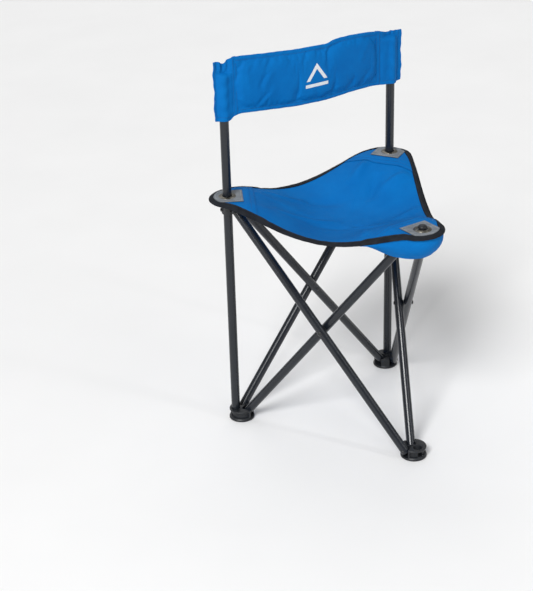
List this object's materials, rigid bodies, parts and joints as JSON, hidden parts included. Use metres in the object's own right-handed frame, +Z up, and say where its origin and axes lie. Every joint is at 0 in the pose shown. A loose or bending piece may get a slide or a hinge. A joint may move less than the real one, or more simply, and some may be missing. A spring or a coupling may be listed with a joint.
{
  "type": "folding tripod camp stool with backrest",
  "caption": "Folding tripod camp stool: scissor tube legs, moulded feet, sliding collars, triangular sling seat and padded backrest on two posts.",
  "frame": {"origin": "on the floor, under the middle of the opened stool's bounding box", "axes": "+Z up, the sitter faces -Y, the two backrest posts stand at the rear at +Y, +X is to the right seen from the front"},
  "size_m": [0.5132, 0.4734, 0.828],
  "materials": {
    "tube": "semi-gloss black powder coat",
    "plastic": "fine moulded satin",
    "rivet": "black satin",
    "nickel": "antique nickel plate",
    "blue_cloth": "plain woven polyester",
    "binding": "folded ribbed tape",
    "grey_patch": "coarse woven webbing"
  },
  "bodies": {
    "left_frame": {"left_post": "tube", "left_post_cap": "plastic", "left_foot": "plastic", "left_sleeve": "blue_cloth", "back_outer_foot_rivet": "rivet", "left_inner_foot_rivet": "rivet"},
    "back_outer_leg": {"back_outer_tube": "tube", "back_mid_rivet": "rivet", "back_mid_washer": "plastic"},
    "back_inner_leg": {"back_inner_tube": "tube"},
    "right_frame": {"right_post": "tube", "right_post_cap": "plastic", "right_foot": "plastic", "back_inner_foot_rivet": "rivet", "right_outer_foot_rivet": "rivet"},
    "left_slider": {"left_collar": "plastic", "left_collar_rivet": "rivet", "left_grommet": "nickel", "left_patch": "grey_patch", "left_corner_panel": "blue_cloth", "back_inner_top_rivet": "rivet", "left_outer_top_rivet": "rivet"},
    "right_slider": {"right_collar": "plastic", "right_collar_rivet": "rivet", "right_grommet": "nickel", "right_patch": "grey_patch", "back_outer_top_rivet": "rivet", "right_inner_top_rivet": "rivet"},
    "left_inner_leg": {"left_inner_tube": "tube", "left_mid_rivet": "rivet", "left_mid_washer": "plastic"},
    "left_outer_leg": {"left_outer_tube": "tube"},
    "front_foot_block": {"front_foot": "plastic", "left_outer_foot_rivet": "rivet", "right_inner_foot_rivet": "rivet"},
    "front_slider": {"front_hub": "plastic", "front_cap": "plastic", "front_grommet": "nickel", "front_patch": "grey_patch", "left_inner_top_rivet": "rivet", "right_outer_top_rivet": "rivet"},
    "right_outer_leg": {"right_outer_tube": "tube", "right_mid_rivet": "rivet", "right_mid_washer": "plastic"},
    "right_inner_leg": {"right_inner_tube": "tube"},
    "seat_middle": {"seat_panel": "blue_cloth", "seat_binding": "binding"},
    "right_seat_corner": {"right_corner_panel": "blue_cloth"},
    "front_seat_corner": {"front_corner_panel": "blue_cloth", "front_pocket": "blue_cloth"},
    "backrest_middle": {"backrest_pad": "blue_cloth"},
    "right_backrest_end": {"right_sleeve": "blue_cloth"}
  },
  "joints": [
    {"name": "fold", "type": "hinge", "parent": "left_frame", "child": "back_outer_leg", "pos_m": [-0.1909, 0.18669, 0.0179], "axis": [0, -1, 0], "range_deg": [0, 35], "deforming": ["seat_panel", "seat_binding", "front_pocket", "left_corner_panel", "right_corner_panel", "front_corner_panel", "left_patch", "right_patch", "front_patch", "backrest_pad", "left_sleeve", "right_sleeve"]},
    {"name": "back_scissor", "type": "hinge", "parent": "back_outer_leg", "child": "back_inner_leg", "pos_m": [0, 0.17669, 0.26365], "axis": [0, 1, 0], "range_deg": [0, 70]},
    {"name": "right_foot_hinge", "type": "hinge", "parent": "back_inner_leg", "child": "right_frame", "pos_m": [0.1909, 0.16669, 0.0179], "axis": [0, -1, 0], "range_deg": [0, 35]},
    {"name": "left_collar_hinge", "type": "hinge", "parent": "back_inner_leg", "child": "left_slider", "pos_m": [-0.1909, 0.16669, 0.5094], "axis": [0, -1, 0], "range_deg": [0, 35]},
    {"name": "right_collar_hinge", "type": "hinge", "parent": "back_outer_leg", "child": "right_slider", "pos_m": [0.1909, 0.18669, 0.5094], "axis": [0, 1, 0], "range_deg": [0, 35]},
    {"name": "left_inner_foot_hinge", "type": "hinge", "parent": "left_frame", "child": "left_inner_leg", "pos_m": [-0.19544, 0.15882, 0.0179], "axis": [-0.866, -0.5, 0], "range_deg": [0, 35]},
    {"name": "left_scissor", "type": "hinge", "parent": "left_inner_leg", "child": "left_outer_leg", "pos_m": [-0.10865, -0.0115, 0.26365], "axis": [0.866, 0.5, 0], "range_deg": [0, 70]},
    {"name": "front_foot_hinge", "type": "hinge", "parent": "left_outer_leg", "child": "front_foot_block", "pos_m": [-0.02186, -0.18182, 0.0179], "axis": [-0.866, -0.5, 0], "range_deg": [0, 35]},
    {"name": "front_hub_hinge", "type": "hinge", "parent": "left_inner_leg", "child": "front_slider", "pos_m": [-0.00454, -0.17182, 0.5094], "axis": [0.866, 0.5, 0], "range_deg": [0, 35]},
    {"name": "right_outer_foot_hinge", "type": "hinge", "parent": "right_frame", "child": "right_outer_leg", "pos_m": [0.21276, 0.14882, 0.0179], "axis": [-0.866, 0.5, 0], "range_deg": [0, 35]},
    {"name": "right_scissor", "type": "hinge", "parent": "right_outer_leg", "child": "right_inner_leg", "pos_m": [0.10865, -0.0115, 0.26365], "axis": [0.866, -0.5, 0], "range_deg": [0, 70]},
    {"name": "seat_gather", "type": "slide", "parent": "left_slider", "child": "seat_middle", "axis": [-0.7354, 0.4246, -0.5281], "range_m": [0, 0.23881]},
    {"name": "right_corner_gather", "type": "slide", "parent": "seat_middle", "child": "right_seat_corner", "axis": [-0.7354, -0.4246, 0.5281], "range_m": [0, 0.23881]},
    {"name": "front_corner_gather", "type": "slide", "parent": "seat_middle", "child": "front_seat_corner", "axis": [0, 0.8492, 0.5281], "range_m": [0, 0.23881]},
    {"name": "backrest_gather", "type": "slide", "parent": "left_frame", "child": "backrest_middle", "axis": [-0.7389, 0.6738, 0], "range_m": [0, 0.23767]},
    {"name": "right_sleeve_gather", "type": "slide", "parent": "backrest_middle", "child": "right_backrest_end", "axis": [-0.7389, -0.6738, 0], "range_m": [0, 0.23767]}
  ],
  "couplings": [
    {"joint": "back_scissor", "follows": "fold", "ratio": 2},
    {"joint": "right_foot_hinge", "follows": "fold", "ratio": 1},
    {"joint": "left_collar_hinge", "follows": "fold", "ratio": 1},
    {"joint": "right_collar_hinge", "follows": "fold", "ratio": 1},
    {"joint": "left_inner_foot_hinge", "follows": "fold", "ratio": 1},
    {"joint": "left_scissor", "follows": "fold", "ratio": 2},
    {"joint": "front_foot_hinge", "follows": "fold", "ratio": 1},
    {"joint": "front_hub_hinge", "follows": "fold", "ratio": 1},
    {"joint": "right_outer_foot_hinge", "follows": "fold", "ratio": 1},
    {"joint": "right_scissor", "follows": "fold", "ratio": 2},
    {"joint": "seat_gather", "follows": "fold", "m_per_rad": 0.39061},
    {"joint": "right_corner_gather", "follows": "fold", "m_per_rad": 0.39061},
    {"joint": "front_corner_gather", "follows": "fold", "m_per_rad": 0.39061},
    {"joint": "backrest_gather", "follows": "fold", "m_per_rad": 0.38875},
    {"joint": "right_sleeve_gather", "follows": "fold", "m_per_rad": 0.38875}
  ]
}
